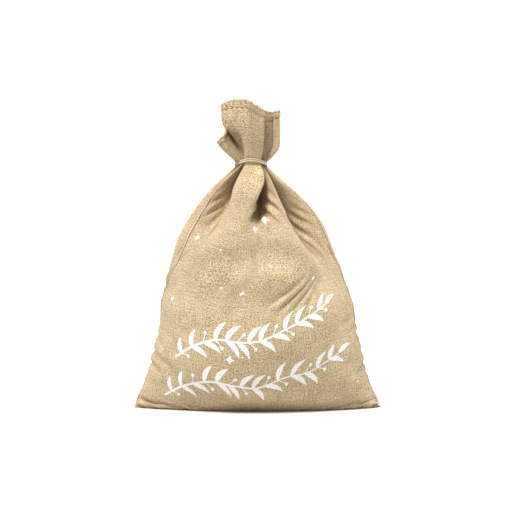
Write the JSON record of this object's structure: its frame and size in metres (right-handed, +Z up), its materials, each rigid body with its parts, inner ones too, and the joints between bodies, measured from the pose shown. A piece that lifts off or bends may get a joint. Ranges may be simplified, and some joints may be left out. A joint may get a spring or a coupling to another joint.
{
  "type": "fabric gift sack",
  "caption": "Standing linen-look cloth gift sack with a filled belly, sewn sides, pointed lower corners, a tied neck and a gathered ruffle above the tie.",
  "frame": {"origin": "on the floor, under the middle of the sack", "axes": "+Z up, the printed front faces -Y, +X to the right seen from the front"},
  "size_m": [0.369, 0.184, 0.4625],
  "materials": {
    "linen": "plain-woven natural linen and cotton, mottled",
    "seam_edge": "overlocked cut edges of the same cloth",
    "thread": "sewing thread, a little paler than the cloth",
    "tie": "twisted two-ply cotton cord"
  },
  "bodies": {
    "sack": {"front_panel": "linen", "back_panel": "linen", "bottom_seam": "seam_edge", "left_side_seam": "seam_edge", "right_side_seam": "seam_edge", "tie_turns": "tie", "tie_knot": "tie"},
    "ruffle": {"front_ruffle": "linen", "back_ruffle": "linen", "left_ruffle_seam": "seam_edge", "right_ruffle_seam": "seam_edge", "front_hem": "linen", "back_hem": "linen", "front_hem_stitching": "thread", "back_hem_stitching": "thread"},
    "left_tail": {"left_tail": "tie", "left_tail_knot": "tie"},
    "right_tail": {"right_tail": "tie", "right_tail_knot": "tie"}
  },
  "joints": [
    {"name": "ruffle_nod", "type": "hinge", "parent": "sack", "child": "ruffle", "pos_m": [-0.009, 0, 0.3745], "axis": [1, 0, 0], "range_deg": [-15, 15], "stiffness_Nm_per_rad": 0.08},
    {"name": "left_tail_lift", "type": "hinge", "parent": "sack", "child": "left_tail", "pos_m": [-0.0125, 0.0275, 0.361], "axis": [1, 0, 0], "range_deg": [0, 70]},
    {"name": "right_tail_lift", "type": "hinge", "parent": "sack", "child": "right_tail", "pos_m": [-0.0055, 0.0275, 0.361], "axis": [1, 0, 0], "range_deg": [0, 70]}
  ]
}
